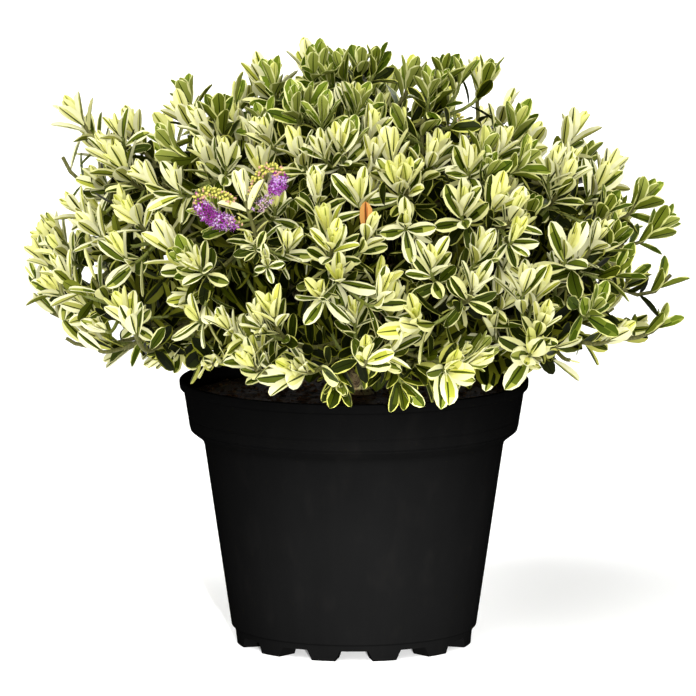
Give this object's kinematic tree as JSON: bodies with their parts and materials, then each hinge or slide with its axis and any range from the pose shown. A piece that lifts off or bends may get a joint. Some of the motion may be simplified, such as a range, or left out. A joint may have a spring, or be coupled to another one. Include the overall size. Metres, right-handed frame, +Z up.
{
  "type": "potted variegated hebe shrub",
  "caption": "Low dome of cream-edged hebe shoots with a few purple flower spikes, growing in a round black nursery pot.",
  "frame": {"origin": "middle of the pot's foot circle, level with the flat undersides of its feet, under the middle of the crown", "axes": "+Z up; the side that the picture shows faces -Y; +X to the right of that side, along the crown's widest spread"},
  "size_m": [0.4283, 0.4055, 0.4044],
  "materials": {
    "black_plastic": "satin black moulded plastic",
    "potting_mix": "moist dark brown peat and bark crumbs",
    "bark": "dull grey-brown bark",
    "cream_edged_leaf": "smooth leaf, cream at the edges and green along the middle"
  },
  "bodies": {
    "root": {"nursery_pot": "black_plastic", "potting_mix": "potting_mix", "main_stem": "bark", "bough_crown_top": "bark", "bough_shoulder_right": "bark", "bough_shoulder_back_right": "bark", "bough_shoulder_back_left": "bark", "bough_shoulder_left": "bark", "bough_shoulder_front_left": "bark", "bough_shoulder_front_right": "bark", "bough_skirt_front": "bark", "bough_skirt_front_right": "bark", "bough_skirt_back_right": "bark", "bough_skirt_back": "bark", "bough_skirt_back_left": "bark", "bough_skirt_front_left": "bark", "foliage_crown_top": "cream_edged_leaf", "foliage_shoulder_right": "cream_edged_leaf", "foliage_shoulder_back_right": "cream_edged_leaf", "foliage_shoulder_back_left": "cream_edged_leaf", "foliage_shoulder_left": "cream_edged_leaf", "foliage_shoulder_front_left": "cream_edged_leaf", "foliage_shoulder_front_right": "cream_edged_leaf", "foliage_skirt_front": "cream_edged_leaf", "foliage_skirt_front_right": "cream_edged_leaf", "foliage_skirt_back_right": "cream_edged_leaf", "foliage_skirt_back": "cream_edged_leaf", "foliage_skirt_back_left": "cream_edged_leaf", "foliage_skirt_front_left": "cream_edged_leaf"}
  },
  "joints": []
}
